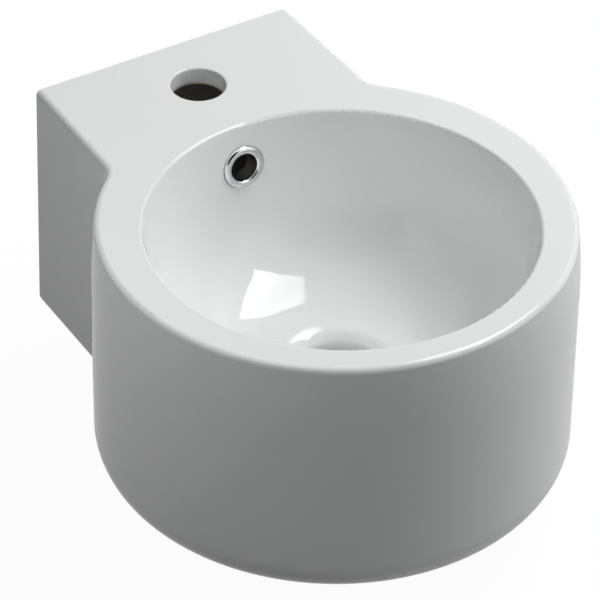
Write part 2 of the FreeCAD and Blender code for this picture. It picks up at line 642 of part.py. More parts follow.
def back_nut():
    """Nut that clamps the waste, its flange and its seals to the ceramic boss."""
    width, bore = "2 * (waste_radius + back_nut_wall)", "waste_radius + screw_gap"
    return hex_nut("back_nut", width, bore, BACK_NUT_TOP, "back_nut_height", "back_nut_chamfer")


# Push latch
def latch_housing():
    """Barrel of the latch, with the shank that screws into the bridge."""
    body = drain_body("latch_housing")
    shank_foot = f"({BRIDGE_TOP} + bridge_height + latch_shank_spare)"
    turn(body, "Revolution", "barrel", [
        ("0", f"-{shank_foot}"), ("latch_shank_radius", f"-{shank_foot}"),
        ("latch_shank_radius", f"-{BRIDGE_TOP}"), (LATCH, f"-{BRIDGE_TOP}"),
        (LATCH, f"-{LATCH_TOP}"), ("latch_bore_radius", f"-{LATCH_TOP}"),
        ("latch_bore_radius", f"-{LATCH_FLOOR}"), ("0", f"-{LATCH_FLOOR}"),
    ])
    return body


def latch_cap():
    """Screw cap that guides the spindle and stops its collar."""
    body = drain_body("latch_cap")
    bore = "spindle_radius + seat_gap"
    spigot = "latch_bore_radius - screw_gap"
    turn(body, "Revolution", "cap", [
        (bore, f"-({LATCH_TOP} - latch_cap_thickness)"), (bore, f"-({LATCH_TOP} + latch_cap_spigot)"),
        (spigot, f"-({LATCH_TOP} + latch_cap_spigot)"), (spigot, f"-{LATCH_TOP}"),
        (LATCH, f"-{LATCH_TOP}"), (LATCH, f"-({LATCH_TOP} - latch_cap_thickness)"),
    ])
    return body


def latch_spring():
    """Coil spring that lifts the plug, squeezed while the plug is shut."""
    body = drain_body("latch_spring")
    wire = sketch_on(body, "XZ_Plane", "wire_section")
    coil_radius = "(latch_bore_radius - seat_gap - spring_wire_radius)"
    start = f"-({LATCH_FLOOR} - spring_wire_radius - screw_gap)"
    draw_circle(wire, "spring_wire_radius", (coil_radius, start))
    rise = "spring_length - seat_gap - 2 * (spring_wire_radius + screw_gap)"
    coil = body.newObject("PartDesign::AdditiveHelix", "coil")
    coil.Profile = wire
    coil.ReferenceAxis = (wire, ["V_Axis"])
    coil.Mode = "height-turns-angle"
    coil.Turns = SPRING_TURNS
    coil.Height = value(rise)
    bind(coil, "Height", rise)
    doc.recompute()
    return body


# Plug
def plug_spindle():
    """Rod that carries the plug, with the collar that the spring pushes."""
    body = drain_body("plug_spindle")
    collar = "latch_bore_radius - seat_gap"
    turn(body, "Revolution", "rod", [
        ("0", f"-{SPINDLE_TOP}"), ("0", f"-{COLLAR_FOOT}"),
        (collar, f"-{COLLAR_FOOT}"), (collar, f"-{COLLAR_TOP}"),
        ("spindle_radius", f"-{COLLAR_TOP}"), ("spindle_radius", f"-{SPINDLE_TOP}"),
    ])
    return body


def plug_nut():
    """Nut that locks the plug on its spindle."""
    bore = "spindle_radius + screw_gap"
    return hex_nut("plug_nut", "plug_nut_width", bore, SPIGOT_FOOT, "plug_nut_height", "plug_nut_chamfer")


def plug_seal():
    """Rubber ring whose edge follows the waste's tapered seat."""
    body = drain_body("plug_seal")
    edge = [f"{SEAT_MOUTH} - ({depth} - {FLANGE_TOP}) * {SEAT_LEAN} - seat_gap"
            for depth in (PLUG_FOOT, SPIGOT_FOOT)]
    turn(body, "Revolution", "seal", [
        (PLUG_SEAL_BORE, f"-{PLUG_FOOT}"), (PLUG_SEAL_BORE, f"-{SPIGOT_FOOT}"),
        (edge[1], f"-{SPIGOT_FOOT}"), (edge[0], f"-{PLUG_FOOT}"),
    ])
    return body


def plug_cap():
    """Crowned plug with a spigot that centres its seal and takes the spindle."""
    body = drain_body("plug_cap")
    edge_top = f"({PLUG_FOOT} - plug_edge_height)"
    thread = "spindle_radius + screw_gap"
    turn(body, "Revolution", "plug", [
        ("0", f"-{SPINDLE_TOP} + screw_gap"), (thread, f"-{SPINDLE_TOP} + screw_gap"),
        (thread, f"-{SPIGOT_FOOT}"), (SPIGOT, f"-{SPIGOT_FOOT}"), (SPIGOT, f"-{PLUG_FOOT}"),
        (PLUG, f"-{PLUG_FOOT}"), (PLUG, f"-{edge_top}", "plug_round"),
        ("0", f"-{edge_top} + plug_crown"),
    ])
    return body


PARTS = [
    basin_casting(), overflow_ring(), overflow_grip(),
    flange_seal(), waste_body(), lower_seal(), slip_washer(), back_nut(),
    latch_housing(), latch_cap(), latch_spring(),
    plug_spindle(), plug_nut(), plug_seal(), plug_cap(),
]


# Checks and files
doc.recompute()
for item in doc.Objects:
    if {"Invalid", "Error"} & set(item.State):
        raise RuntimeError(f"{item.Label} failed: {item.State}")
for part in PARTS:
    if part.Shape.isNull() or not part.Shape.isValid():
        raise RuntimeError(f"{part.Label} has no valid shape")
os.makedirs("parts", exist_ok=True)
for part in PARTS:
    part.Shape.exportStep(f"parts/{part.Label}.step")
    print(part.Label, len(part.Shape.Solids), "solid,", round(part.Shape.Volume), "mm3")
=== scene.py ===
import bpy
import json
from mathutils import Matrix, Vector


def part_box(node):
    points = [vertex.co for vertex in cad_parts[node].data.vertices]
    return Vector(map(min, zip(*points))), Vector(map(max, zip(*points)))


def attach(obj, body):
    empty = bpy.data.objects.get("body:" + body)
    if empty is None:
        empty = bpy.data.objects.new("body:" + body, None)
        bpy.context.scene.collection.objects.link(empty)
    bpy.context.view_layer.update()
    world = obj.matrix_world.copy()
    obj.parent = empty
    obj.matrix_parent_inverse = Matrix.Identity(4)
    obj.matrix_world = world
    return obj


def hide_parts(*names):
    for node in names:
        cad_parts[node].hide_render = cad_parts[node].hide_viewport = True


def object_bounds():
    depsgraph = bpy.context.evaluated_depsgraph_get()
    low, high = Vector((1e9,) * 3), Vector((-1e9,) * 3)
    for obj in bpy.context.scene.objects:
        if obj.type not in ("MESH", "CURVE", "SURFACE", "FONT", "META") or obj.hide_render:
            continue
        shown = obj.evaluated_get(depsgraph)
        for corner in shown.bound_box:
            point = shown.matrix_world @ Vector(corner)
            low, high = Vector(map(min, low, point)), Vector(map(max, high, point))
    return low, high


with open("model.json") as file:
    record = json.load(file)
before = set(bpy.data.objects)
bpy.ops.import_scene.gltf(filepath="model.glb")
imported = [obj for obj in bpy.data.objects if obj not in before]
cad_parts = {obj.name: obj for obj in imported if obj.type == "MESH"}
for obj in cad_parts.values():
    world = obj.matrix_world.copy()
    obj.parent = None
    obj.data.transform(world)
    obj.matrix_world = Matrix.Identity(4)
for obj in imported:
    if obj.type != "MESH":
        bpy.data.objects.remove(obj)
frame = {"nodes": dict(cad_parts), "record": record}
CAD_BOX = [list(corner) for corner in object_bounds()]

import json
import math

import bpy
from bpy.props import FloatProperty, FloatVectorProperty, PointerProperty
from mathutils import Matrix, Vector

bl_info = {
    "name": "Hand basin",
    "version": (1, 0, 0),
    "blender": (4, 5, 0),
    "location": "View3D > Sidebar > Basin",
    "description": "Finishes, fine pieces and studio for a round wall-hung hand basin",
    "category": "Object",
}

# Places that the finishes and the stage follow, in metres in the frame of the solids
TAIL = next(mount for mount in frame["record"]["mounts"] if mount["name"] == "waste_tail")
BOWL_SHIFT = 0.0063  # how far the bowl's axis lies in front of the drum's
DRAIN_Y = TAIL["pos_m"][1]
AXIS_Y = DRAIN_Y + BOWL_SHIFT
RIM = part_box("basin_casting")[1].z
RIM_CENTRE = Vector((0, AXIS_Y, RIM))

# Borders between the glaze and the bare body, in metres, most of them inside a wall of the casting
SHELL_MOUTH = 0.1277  # radius of the bowl's shell at the rim
SHELL_LEAN = 0.1566  # how much narrower the shell is for each metre of depth
SHELL_FLOOR = 0.1128  # depth of the shell's floor, carried on to the drain's axis
SHELL_FALL = 0.0820  # fall of that floor towards the drain
SHELL_ROUND = 0.073  # rounding between the shell's wall and its floor
SUMP_SIDE = 0.036  # radius of the wall around the drain's recess
SEAT_DEPTH = 0.1235  # a little deeper than the waste's seat
BOSS_SIDE = 0.0277  # radius of the drain boss's wall under that seat
SKIRT_FOOT = -0.1025  # height of the turned-in foot
SKIRT_SIDE = 0.131  # radius of the skirt's wall at the foot
SKIRT_LEAN = 0.45  # how much wider it is for each metre above the foot
SKIRT_RISE = 0.03  # height over which it widens
LEDGE_START = 0.05  # where the ledge starts, behind the drum's axis
LEDGE_HALF = 0.0862  # half the ledge's width at the wall
LEDGE_LEAN = 0.0258  # how much wider half the ledge is for each metre from the wall
LEDGE_BACK = -0.006  # the ledge's back
DECK = 0.0645  # the ledge's deck
WALL_FACE = -0.0006  # the face that meets the wall
# The overflow's passage, where the bare body is darkened with painted shade
PASSAGE_START = 0.02  # where the overflow's passage starts, behind the drum's axis
PASSAGE_DEPTH = 0.0185  # how far it reaches out from the shell's middle
PASSAGE_HALF = 0.0135  # half its width

# The cutter of the thread, and meshes in general
CUTTER_CLEAR = 0.0004  # how far the cutter stands out over the crest
CUTTER_SHARE = 0.97  # its height as a share of the pitch
CUTTER_STEPS = 44  # its faces around one turn
SMOOTH_ANGLE = math.radians(32)
MERGE = 1e-6

# The photo: its side and the middle of the rim in it, in pixels, and the sensor's width in millimetres
PHOTO_SIDE = 600
RIM_PIXEL = (336.45, 221.2)
SENSOR = 36.0

# The stage, in metres
FLOOR_SIDE = 8.0
FLOOR_GAP = 0.0005  # left under the lowest solid
FLOOR_WHITE = 0.8  # share of the floor's look that is its own white
FLOOR_GLOW = 1.2  # level of that white
FLOOR_MIRRORED = 0.55  # share of it that polished surfaces show
FLAG_DISTANCE = 2.2
WHITE = (1.0, 1.0, 1.0)
# Corners of the softbox, which the slanted patch of light in the bowl gives
SOFTBOX = ((1.095, -1.092, 1.684), (0.431, -0.359, 1.899), (1.815, 0.483, 2.067), (1.150, 1.216, 2.281))
# The place of each fill panel and its side
PANELS = {
    "left": ((-0.55, -0.25, 0.40), 0.25),
    "right": ((0.95, -0.75, 0.30), 0.6),
    "high": ((1.2, -0.25, 0.75), 0.6),
    "front": ((0.5, -1.3, 0.6), 0.6),
    "back": ((0.3, 1.2, 0.15), 0.6),
}


# Shader arithmetic
class Signal:
    """One output of a node, with arithmetic that adds Math nodes."""

    def __init__(self, finish, socket):
        self.finish = finish
        self.socket = socket

    def math(self, operation, first, second=0.0):
        return self.finish.add("ShaderNodeMath", {"operation": operation}, {0: first, 1: second})

    def __add__(self, other):
        return self.math("ADD", self, other)

    __radd__ = __add__

    def __sub__(self, other):
        return self.math("SUBTRACT", self, other)

    def __rsub__(self, other):
        return self.math("SUBTRACT", other, self)

    def __mul__(self, other):
        return self.math("MULTIPLY", self, other)

    __rmul__ = __mul__

    def __truediv__(self, other):
        return self.math("DIVIDE", self, other)

    def __rtruediv__(self, other):
        return self.math("DIVIDE", other, self)

    def __abs__(self):
        return self.math("ABSOLUTE", self)

    def least(self, other):
        return self.math("MINIMUM", self, other)

    def most(self, other):
        return self.math("MAXIMUM", self, other)

    def root(self):
        return self.math("SQRT", self)

    def over(self, edge, soft):
        """0 below the edge and 1 above it, over a soft band."""
        settings = {"interpolation_type": "SMOOTHSTEP", "clamp": True}
        sockets = {"Value": self, "From Min": edge - soft, "From Max": edge + soft}
        return self.finish.add("ShaderNodeMapRange", settings, sockets)


class Finish:
    """The nodes of a material, or of the world, while they are put together."""

    def __init__(self, owner):
        self.owner = owner
        owner.use_nodes = True
        self.tree = owner.node_tree
        self.tree.nodes.clear()

    def add(self, kind, settings=None, sockets=None, outputs=(0,)):
        """Add a node: its settings first, then the values or links of its sockets."""
        node = self.tree.nodes.new(kind)
        for name, value in (settings or {}).items():
            setattr(node, name, value)
        for key, value in (sockets or {}).items():
            if isinstance(value, Signal):
                self.tree.links.new(value.socket, node.inputs[key])
            else:
                node.inputs[key].default_value = value
        found = [Signal(self, node.outputs[output]) for output in outputs if len(node.outputs)]
        return found[0] if len(found) == 1 else found

    def place(self):
        """The point on the piece, in the frame of the solids."""
        return self.add("ShaderNodeTexCoord", outputs=("Object",))

    def parts(self, vector):
        return self.add("ShaderNodeSeparateXYZ", sockets={0: vector}, outputs=("X", "Y", "Z"))

    def noise(self, vector, scale, detail=2.0, rough=0.5):
        sockets = {"Vector": vector, "Scale": scale, "Detail": detail, "Roughness": rough}
        return self.add("ShaderNodeTexNoise", {"noise_dimensions": "3D"}, sockets)

    def between(self, share, first, second):
        """A colour between two, by a share."""
        return self.add("ShaderNodeMix", {"data_type": "RGBA"}, {0: share, 6: first, 7: second}, (2,))

    def bump(self, height, distance, normal=None):
        sockets = {"Height": height, "Distance": distance}
        if normal:
            sockets["Normal"] = normal
        return self.add("ShaderNodeBump", sockets=sockets)

    def glow(self, colour, level):
        return self.add("ShaderNodeEmission", sockets={"Color": colour, "Strength": level})

    def show(self, shader):
        """Make a shader the material's surface."""
        self.add("ShaderNodeOutputMaterial", sockets={"Surface": shader})
        return self.owner

    def surface(self, sockets):
        return self.show(self.add("ShaderNodeBsdfPrincipled", sockets=sockets))

    def in_sight(self, mirrored_share=1.0):
        """1 where the ray comes straight from the eye or through glass, and a share of it by a mirror."""
        straight, mirrored, through = self.add(
            "ShaderNodeLightPath", outputs=("Is Camera Ray", "Is Glossy Ray", "Is Transmission Ray"))
        return straight.most(mirrored * mirrored_share).most(through)


def new_finish(name):
    return Finish(bpy.data.materials.new(name))


def rgb(colour):
    return (*colour, 1.0)


def shade(colour, share):
    """A colour made darker or lighter by a share."""
    return rgb(min(part * share, 1.0) for part in colour)


# Sizes and colours that a user would change
def colour_setting(name, description, default):
    return FloatVectorProperty(
        name=name, description=description, subtype="COLOR", size=3, min=0, max=1, default=default)


def length_setting(name, description, default):
    return FloatProperty(name=name, description=description, unit="LENGTH", default=default)


def angle_setting(name, description, degrees):
    return FloatProperty(
        name=name, description=description, subtype="ANGLE", default=math.radians(degrees))


def level_setting(name, description, default):
    return FloatProperty(name=name, description=description, default=default)


class GlazeLook(bpy.types.PropertyGroup):
    glaze: colour_setting("Glaze", "Colour of the glazed ceramic", (0.866, 0.882, 0.878))
    biscuit: colour_setting("Biscuit", "Colour of the bare fired body", (0.62, 0.58, 0.51))
    gloss: FloatProperty(
        name="Roughness", description="Roughness of the glaze", min=0, max=1, default=0.045)
    wave: length_setting("Wave", "Height of the glaze's slow waves", 0.00002)


class MetalLook(bpy.types.PropertyGroup):
    chrome: colour_setting("Chrome", "Colour of the chrome plate", (0.80, 0.81, 0.82))
    brass: colour_setting("Brass", "Colour of the machined brass", (0.72, 0.55, 0.27))
    steel: colour_setting("Steel", "Colour of the drawn spring wire", (0.52, 0.52, 0.53))


class SoftLook(bpy.types.PropertyGroup):
    rubber: colour_setting("Rubber", "Colour of the seals", (0.028, 0.028, 0.030))
    nylon: colour_setting("Nylon", "Colour of the slip washer", (0.80, 0.79, 0.74))


class WasteThread(bpy.types.PropertyGroup):
    crest: length_setting("Crest", "Radius of the thread's crest", TAIL["dims"]["r_mm"] / 1000)
    pitch: length_setting("Pitch", "Rise of one turn, 11 turns to the inch", 0.002309)
    depth: length_setting("Depth", "Crest to root", 0.00148)
    root_share: level_setting("Root", "Width of the groove at its root as a share of its mouth", 0.16)
    top: length_setting("Top", "Height at which the thread starts", -0.0785)


class StudioSetup(bpy.types.PropertyGroup):
    azimuth: angle_setting("Azimuth", "Camera's turn from straight in front", -32.1)
    elevation: angle_setting("Elevation", "Camera's height over the rim's plane", 36.57)
    roll: angle_setting("Roll", "Camera's turn about its own line of sight", 1.2)
    distance: length_setting("Distance", "Camera to the middle of the rim", 3.66)
    lens: level_setting("Lens", "Focal length in millimetres on a 36 mm sensor", 360.0)
    key: level_setting("Key", "Radiance of the softbox at its bright side", 12.2)
    key_edge: level_setting("Key edge", "Share of that at its dim side", 0.5)
    sky: level_setting("Sky", "Level of the soft light from all around", 0.05)
    left_fill: level_setting("Left fill", "Watts of the left panel", 0.84)
    right_fill: level_setting("Right fill", "Watts of the right panel", 1.13)
    high_fill: level_setting("High fill", "Watts of the high right panel", 3.0)
    front_fill: level_setting("Front fill", "Watts of the front panel", 1.9)
    back_fill: level_setting("Back fill", "Watts of the low panel behind", 3.0)
    flag_reach: length_setting("Flag", "Half width of the dim side of the studio", 2.2)
    flag_level: level_setting("Flag level", "Level in the middle of the dim side", 0.03)
    floor: colour_setting("Floor", "Colour of the floor", (0.25, 0.25, 0.25))


# Finishes
def beyond_shell(from_drain, depth):
    """Distance from the centre of the bowl's rounding, which the shell's middle keeps at SHELL_ROUND."""
    lean = math.atan(SHELL_LEAN)
    fall = math.atan(SHELL_FALL)
    past_wall = (from_drain - (SHELL_MOUTH - depth * SHELL_LEAN)) * math.cos(lean) + SHELL_ROUND
    past_floor = (depth - (SHELL_FLOOR - from_drain * SHELL_FALL)) * math.cos(fall) + SHELL_ROUND
    shared = math.sin(lean + fall)
    on_wall = past_wall.most(past_floor * shared)
    on_floor = past_floor.most(past_wall * shared)
    reach = on_wall * on_wall + on_floor * on_floor - on_wall * on_floor * (2 * shared)
    return reach.most(0.0).root() / math.cos(lean + fall)


def bare_body(finish, place):
    """Where the body is bare: at the wall, underneath, inside the hollow; and the overflow's passage within
    it, which gets painted shade.
    """
    x, y, z = finish.parts(place)
    edge_wobble = (finish.noise(place, scale=60.0, detail=3.0) - 0.5) * 0.002
    depth = RIM - z
    behind_axis = y - AXIS_Y
    from_axis = (x * x + behind_axis * behind_axis).root()
    from_drain = (x * x + (y - DRAIN_Y) * (y - DRAIN_Y)).root()

    past_shell = beyond_shell(from_drain, depth)
    outside_bowl = past_shell.over(SHELL_ROUND, soft=0.0005)
    under_seat = depth.over(SEAT_DEPTH, soft=0.0005) * from_drain.over(BOSS_SIDE, soft=0.0003)
    outside_sump = from_drain.over(SUMP_SIDE, soft=0.0003).most(under_seat)

    above_foot = (z - SKIRT_FOOT).most(0.0).least(SKIRT_RISE)
    skirt_limit = above_foot * SKIRT_LEAN + SKIRT_SIDE
    in_drum = 1 - (from_axis - skirt_limit).over(0.0, soft=0.0003)
    from_side = abs(x) + y * LEDGE_LEAN + edge_wobble
    in_ledge = (1 - from_side.over(LEDGE_HALF, soft=0.0004)) * behind_axis.over(LEDGE_START, soft=0.001)
    in_ledge = in_ledge * (1 - (y + edge_wobble).over(LEDGE_BACK, soft=0.0004))
    under_deck = 1 - (z + edge_wobble).over(DECK, soft=0.0008)
    hollow = in_drum.most(in_ledge) * under_deck * outside_bowl * outside_sump
    bare = hollow.most((y + edge_wobble * 0.2).over(WALL_FACE, soft=0.0002))

    # Painted shade: the mask of the overflow's passage behind the shell, which the glaze finish darkens
    near_shell = 1 - past_shell.over(SHELL_ROUND + PASSAGE_DEPTH, soft=0.0005)
    passage_painted_shade = near_shell * (1 - abs(x).over(PASSAGE_HALF, soft=0.0003))
    passage_painted_shade = passage_painted_shade * behind_axis.over(PASSAGE_START, soft=0.001) * bare
    return bare, passage_painted_shade


def glaze_finish(look):
    """White glaze, thin and glossy, with a few specks, on a grainy body whose overflow passage is darkened
    with painted shade.
    """
    finish = new_finish("white_glaze_finish")
    place = finish.place()
    bare, passage_painted_shade = bare_body(finish, place)
    speck_colour = (0.42, 0.38, 0.33, 1)

    cloud = finish.noise(place, scale=9.0)
    mottle = finish.noise(place, scale=140.0, detail=3.0)
    speck = finish.add("ShaderNodeTexVoronoi", {"feature": "F1"}, {"Vector": place, "Scale": 90.0})
    speck = (1 - speck.over(0.035, soft=0.012)) * mottle.over(0.56, soft=0.05)
    tint = finish.between(cloud, shade(look.glaze, 0.985), shade(look.glaze, 1.012))
    tint = finish.between(speck * 0.10, tint, speck_colour)

    grain = finish.noise(place, scale=900.0, detail=4.0, rough=0.6)
    stain = finish.noise(place, scale=22.0, detail=4.0, rough=0.6)
    body = finish.between(stain, shade(look.biscuit, 0.86), rgb(look.biscuit))
    body = finish.between(grain * 0.25, body, shade(look.biscuit, 0.7))
    # Painted shade: the bare body inside the overflow's passage darkened to a third, so the hole reads dark
    body = finish.between(passage_painted_shade, body, shade(look.biscuit, 0.34))

    rough = (1 - bare) * (look.gloss + mottle * 0.02) + bare * (0.72 + grain * 0.2)
    slow = finish.noise(place, scale=26.0, detail=1.0)
    fine = finish.noise(place, scale=210.0, detail=1.0)
    glaze_relief = finish.bump((slow + fine * 0.05) * (1 - bare), look.wave)
    relief = finish.bump(grain * bare, distance=0.00012, normal=glaze_relief)
    return finish.surface({
        "Base Color": finish.between(bare, tint, body), "Roughness": rough, "Normal": relief, "IOR": 1.5,
    })


def chrome_finish(look):
    """Bright chrome plate with faint polishing lines and a slight bloom."""
    finish = new_finish("chrome_finish")
    place = finish.place()
    bloom = finish.noise(place, scale=180.0, detail=3.0)
    lines = finish.noise(place, scale=2600.0, rough=0.6)
    tint = finish.between(bloom, shade(look.chrome, 0.96), rgb(look.chrome))
    rough = 0.035 + bloom * 0.05 + lines * 0.02
    relief = finish.bump(lines, distance=0.0000015)
    return finish.surface({"Base Color": tint, "Metallic": 1.0, "Roughness": rough, "Normal": relief})


def machined_finish(name, colour, rough_level):
    """Turned metal: fine rings around the upright axis and a dulled skin."""
    finish = new_finish(name)
    place = finish.place()
    tarnish = finish.noise(place, scale=75.0, detail=4.0, rough=0.6)
    cut = finish.add(
        "ShaderNodeTexWave", {"wave_type": "BANDS", "bands_direction": "Z"},
        {"Vector": place, "Scale": 900.0, "Distortion": 0.6, "Detail": 2.0, "Detail Scale": 40.0}, (1,))
    tint = finish.between(tarnish, shade(colour, 0.72), rgb(colour))
    rough = rough_level + tarnish * 0.16
    relief = finish.bump(cut, distance=0.000012)
    return finish.surface({"Base Color": tint, "Metallic": 1.0, "Roughness": rough, "Normal": relief})


def rubber_finish(look):
    """Matt black rubber with a dusty bloom and fine moulded grain."""
    finish = new_finish("black_rubber_finish")
    place = finish.place()
    dust_colour = (0.10, 0.10, 0.098, 1)
    dust = finish.noise(place, scale=110.0, detail=4.0, rough=0.65)
    grain = finish.noise(place, scale=1800.0, detail=3.0)
    tint = finish.between(dust.over(0.55, soft=0.2) * 0.35, rgb(look.rubber), dust_colour)
    rough = 0.52 + dust * 0.25
    relief = finish.bump(grain, distance=0.00003)
    return finish.surface({
        "Base Color": tint, "Roughness": rough, "Normal": relief, "Specular IOR Level": 0.35,
    })


def nylon_finish(look):
    """Natural nylon, slightly waxy, with cloudy tone."""
    finish = new_finish("white_nylon_finish")
    place = finish.place()
    cloud = finish.noise(place, scale=130.0, detail=3.0)
    grain = finish.noise(place, scale=1500.0)
    tint = finish.between(cloud, shade(look.nylon, 0.9), rgb(look.nylon))
    rough = 0.38 + cloud * 0.12
    relief = finish.bump(grain, distance=0.00001)
    return finish.surface({"Base Color": tint, "Roughness": rough, "Normal": relief})


# Modelling helpers
def take_up(piece):
    """Select one piece alone and make it the active one."""
    bpy.ops.object.select_all(action="DESELECT")
    piece.select_set(True)
    bpy.context.view_layer.objects.active = piece


def new_plane(context, name, side, **place):
    """Add a square plane, with nothing else selected."""
    bpy.ops.object.select_all(action="DESELECT")
    bpy.ops.mesh.primitive_plane_add(size=side, **place)
    plane = context.object
    plane.name = name
    return plane


def close_mesh(end_sides=None):
    """Merge the active piece's doubles, close ends that have so many sides and turn its faces outwards."""
    bpy.ops.object.mode_set(mode="EDIT")
    bpy.ops.mesh.select_all(action="SELECT")
    bpy.ops.mesh.remove_doubles(threshold=MERGE)
    if end_sides:
        bpy.ops.mesh.fill_holes(sides=end_sides)
        bpy.ops.mesh.select_all(action="SELECT")
    bpy.ops.mesh.normals_make_consistent(inside=False)
    bpy.ops.object.mode_set(mode="OBJECT")


def closed_copy(node, name):
    """A copy of a carried-over solid with its loose triangles merged, ready to be cut."""
    piece = bpy.data.objects.new(name, frame["nodes"][node].data.copy())
    bpy.context.collection.objects.link(piece)
    take_up(piece)
    bpy.ops.mesh.customdata_custom_splitnormals_clear()
    close_mesh()
    return piece


def apply_modifier(piece, kind, settings):
    """Add a modifier to the active piece and apply it."""
    modifier = piece.modifiers.new(kind.lower(), kind)
    for name, value in settings.items():
        setattr(modifier, name, value)
    bpy.ops.object.modifier_apply(modifier=modifier.name)


def dress(node, material):
    """Give one carried-over solid its finish."""
    frame["nodes"][node].material_slots[0].material = material


# Stage helpers
def to_camera(setup):
    """The direction from the basin to the camera."""
    across = math.cos(setup.elevation)
    return Vector((
        math.sin(setup.azimuth) * across, -math.cos(setup.azimuth) * across, math.sin(setup.elevation)))


def facing_away(direction, place):
    """The placing of an object at a place, with its own Z along a direction."""
    return Matrix.Translation(place) @ direction.to_track_quat("Z", "Y").to_matrix().to_4x4()


# Operators
class BASIN_OT_casting(bpy.types.Operator):
    """Glaze the ceramic casting"""
    bl_idname = "basin.casting"
    bl_label = "Ceramic casting"

    def execute(self, context):
        dress("basin_casting", glaze_finish(context.scene.basin_glaze))
        return {"FINISHED"}


class BASIN_OT_fittings(bpy.types.Operator):
    """Finish the overflow ring, the waste, the latch and the plug"""
    bl_idname = "basin.fittings"
    bl_label = "Fittings"

    def execute(self, context):
        metal = context.scene.basin_metal
        soft = context.scene.basin_soft
        chrome = chrome_finish(metal)
        brass = machined_finish("brass_finish", metal.brass, rough_level=0.22)
        steel = machined_finish("spring_steel_finish", metal.steel, rough_level=0.30)
        finishes = {
            chrome: ["overflow_ring", "waste_body", "plug_cap"],
            brass: ["back_nut", "latch_housing", "latch_cap", "plug_spindle", "plug_nut"],
            steel: ["latch_spring"],
            rubber_finish(soft): ["overflow_grip", "flange_seal", "lower_seal", "plug_seal"],
            nylon_finish(soft): ["slip_washer"],
        }
        for material, nodes in finishes.items():
            for node in nodes:
                dress(node, material)
        return {"FINISHED"}


class BASIN_OT_waste_thread(bpy.types.Operator):
    """Cut the pipe thread into the waste"""
    bl_idname = "basin.waste_thread"
    bl_label = "Waste thread"

    def execute(self, context):
        waste = closed_copy("waste_body", "threaded_waste")
        groove = self.groove(context, context.scene.basin_thread)
        take_up(waste)
        cut = {"operation": "DIFFERENCE", "solver": "EXACT", "object": groove}
        apply_modifier(waste, "BOOLEAN", cut)
        bpy.data.objects.remove(groove)
        bpy.ops.object.shade_smooth_by_angle(angle=SMOOTH_ANGLE)
        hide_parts("waste_body")
        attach(waste, "basin")
        return {"FINISHED"}

    def groove(self, context, thread):
        """A long coil with the section of the space between two turns of the thread."""
        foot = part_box("waste_body")[0].z
        turns = math.ceil((thread.top - foot) / thread.pitch) + 1
        outside = thread.crest + CUTTER_CLEAR
        root = thread.crest - thread.depth
        middle = ((outside + root) / 2, 0, thread.top)
        groove = new_plane(context, "groove", 1.0, rotation=(math.radians(90), 0, 0))
        bpy.ops.object.transform_apply(rotation=True)
        bpy.ops.object.mode_set(mode="EDIT")
        bpy.ops.mesh.select_all(action="SELECT")
        size = (outside - root, 1, thread.pitch * CUTTER_SHARE)
        bpy.ops.transform.resize(value=size, center_override=(0, 0, 0))
        bpy.ops.transform.translate(value=middle)
        bpy.ops.object.mode_set(mode="OBJECT")
        for vertex in groove.data.vertices:
            vertex.select = vertex.co.x < middle[0]
        bpy.ops.object.mode_set(mode="EDIT")
        bpy.ops.mesh.select_mode(type="VERT")
        bpy.ops.transform.resize(value=(1, 1, thread.root_share), center_override=middle)
        bpy.ops.mesh.select_all(action="SELECT")
        bpy.ops.mesh.delete(type="ONLY_FACE")
        bpy.ops.object.mode_set(mode="OBJECT")
        apply_modifier(groove, "SCREW", {
            "axis": "Z", "angle": math.radians(360), "screw_offset": -thread.pitch, "iterations": turns,
            "steps": CUTTER_STEPS, "render_steps": CUTTER_STEPS, "use_smooth_shade": False,
        })
        groove.location = (0, DRAIN_Y, 0)
        bpy.ops.object.transform_apply(location=True)
        close_mesh(end_sides=4)
        return groove


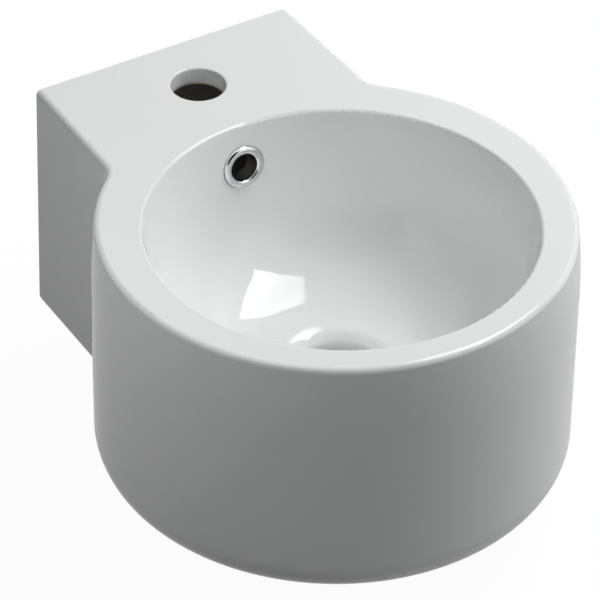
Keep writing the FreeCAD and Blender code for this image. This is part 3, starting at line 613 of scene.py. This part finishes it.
class BASIN_OT_stage(bpy.types.Operator):
    """Set the floor, the studio light and the camera"""
    bl_idname = "basin.stage"
    bl_label = "Stage"

    def execute(self, context):
        setup = context.scene.basin_studio
        context.scene.view_settings.view_transform = "Standard"
        self.floor(context, setup)
        self.softbox(context, setup)
        self.flag(context, setup)
        for name, (place, side) in PANELS.items():
            self.panel(context, f"{name}_panel", getattr(setup, f"{name}_fill"), place, side)
        self.sky(context, setup)
        self.camera(context, setup)
        return {"FINISHED"}

    def floor(self, context, setup):
        """A pale floor that is white where it is seen, keeps the shadow and is clear from below."""
        under = CAD_BOX[0][2] - FLOOR_GAP
        floor = new_plane(context, "floor", FLOOR_SIDE, location=(0, 0, under))
        bpy.ops.object.transform_apply(location=True)
        finish = new_finish("floor_finish")
        tone = finish.noise(finish.place(), scale=3.0)
        tint = finish.between(tone, shade(setup.floor, 0.98), rgb(setup.floor))
        white = finish.in_sight(FLOOR_MIRRORED) * FLOOR_WHITE
        matt = finish.add("ShaderNodeBsdfDiffuse", sockets={"Color": tint})
        glow = finish.glow(rgb(WHITE), FLOOR_GLOW)
        lit = finish.add("ShaderNodeMixShader", sockets={0: white, 1: matt, 2: glow})
        from_below = finish.add("ShaderNodeNewGeometry", outputs=("Backfacing",))
        clear = finish.add("ShaderNodeBsdfTransparent")
        mixed = finish.add("ShaderNodeMixShader", sockets={0: from_below, 1: lit, 2: clear})
        floor.data.materials.append(finish.show(mixed))

    def softbox(self, context, setup):
        """The large window of light that shows as a slanted patch in the bowl."""
        softbox = new_plane(context, "softbox", 2.0)
        for vertex, corner in zip(softbox.data.vertices, SOFTBOX):
            vertex.co = corner
        softbox.visible_camera = False
        finish = new_finish("softbox_finish")
        start = Vector(SOFTBOX[0])
        across = Vector(SOFTBOX[1]) - start
        across = across / across.length_squared
        x, y, z = finish.parts(finish.place())
        share = x * across.x + y * across.y + z * across.z - across.dot(start)
        tone = finish.between(share, rgb(WHITE), shade(WHITE, setup.key_edge))
        softbox.data.materials.append(finish.show(finish.glow(tone, setup.key)))

    def flag(self, context, setup):
        """The dim side of the studio behind the camera, which only polished surfaces show."""
        towards = to_camera(setup)
        flag = new_plane(context, "flag", 2 * setup.flag_reach)
        flag.matrix_world = facing_away(towards, RIM_CENTRE + towards * FLAG_DISTANCE)
        for ray in ("camera", "diffuse", "transmission", "shadow"):
            setattr(flag, f"visible_{ray}", False)
        finish = new_finish("flag_finish")
        across, along, _ = finish.parts(finish.place())
        from_middle = (across * across + along * along).root() / setup.flag_reach
        outer = from_middle.over(0.72, soft=0.26)
        tone = finish.between(outer, shade(WHITE, setup.flag_level), rgb(WHITE))
        flag.data.materials.append(finish.show(finish.glow(tone, 1.0)))

    def panel(self, context, name, power, place, side):
        """A square fill panel that faces the basin and makes no highlight."""
        bpy.ops.object.light_add(type="AREA")
        panel = context.object
        panel.name = name
        panel.data.shape = "SQUARE"
        panel.data.size = side
        panel.data.energy = power
        panel.visible_glossy = False
        panel.matrix_world = facing_away(Vector(place) - Vector((0, AXIS_Y, 0)), place)

    def sky(self, context, setup):
        """White where it is seen, and a low soft light from all around."""
        sky = Finish(bpy.data.worlds.new("studio"))
        context.scene.world = sky.owner
        shown = sky.in_sight()
        white = {"Color": rgb(WHITE), "Strength": shown + (1 - shown) * setup.sky}
        background = sky.add("ShaderNodeBackground", sockets=white)
        sky.add("ShaderNodeOutputWorld", sockets={"Surface": background})

    def camera(self, context, setup):
        """A long lens at the photo's angle, turned so that the rim's middle falls on its pixel."""
        back = to_camera(setup)
        right = Vector((math.cos(setup.azimuth), math.sin(setup.azimuth), 0))
        up = back.cross(right)
        turned = Matrix.Rotation(setup.roll, 3, back)
        right, up = turned @ right, turned @ up
        place = RIM_CENTRE + back * setup.distance
        focal = setup.lens / SENSOR * PHOTO_SIDE
        left, above = (PHOTO_SIDE / 2 - pixel for pixel in RIM_PIXEL)
        back = (back * focal - right * left + up * above).normalized()
        right = up.cross(back).normalized()
        up = back.cross(right)
        bpy.ops.object.camera_add()
        camera = context.object
        camera.name = "photo_camera"
        camera.data.lens = setup.lens
        camera.data.sensor_width = SENSOR
        camera.data.clip_end = 50
        camera.matrix_world = Matrix.Translation(place) @ Matrix((right, up, back)).transposed().to_4x4()
        context.scene.camera = camera


class BASIN_PT_sidebar(bpy.types.Panel):
    bl_idname = "BASIN_PT_sidebar"
    bl_label = "Hand basin"
    bl_space_type = "VIEW_3D"
    bl_region_type = "UI"
    bl_category = "Basin"

    def draw(self, context):
        for operator in OPERATORS:
            self.layout.operator(operator.bl_idname)


OPERATORS = [BASIN_OT_casting, BASIN_OT_fittings, BASIN_OT_waste_thread, BASIN_OT_stage]
GROUPS = {
    "basin_glaze": GlazeLook, "basin_metal": MetalLook, "basin_soft": SoftLook,
    "basin_thread": WasteThread, "basin_studio": StudioSetup,
}
CLASSES = [*GROUPS.values(), *OPERATORS, BASIN_PT_sidebar]


def register():
    for each in CLASSES:
        bpy.utils.register_class(each)
    for name, group in GROUPS.items():
        setattr(bpy.types.Scene, name, PointerProperty(type=group))


def unregister():
    for name in GROUPS:
        delattr(bpy.types.Scene, name)
    for each in reversed(CLASSES):
        bpy.utils.unregister_class(each)


def main():
    register()
    bpy.ops.basin.casting()
    bpy.ops.basin.fittings()
    bpy.ops.basin.waste_thread()
    bpy.ops.basin.stage()


if __name__ == "__main__":
    main()
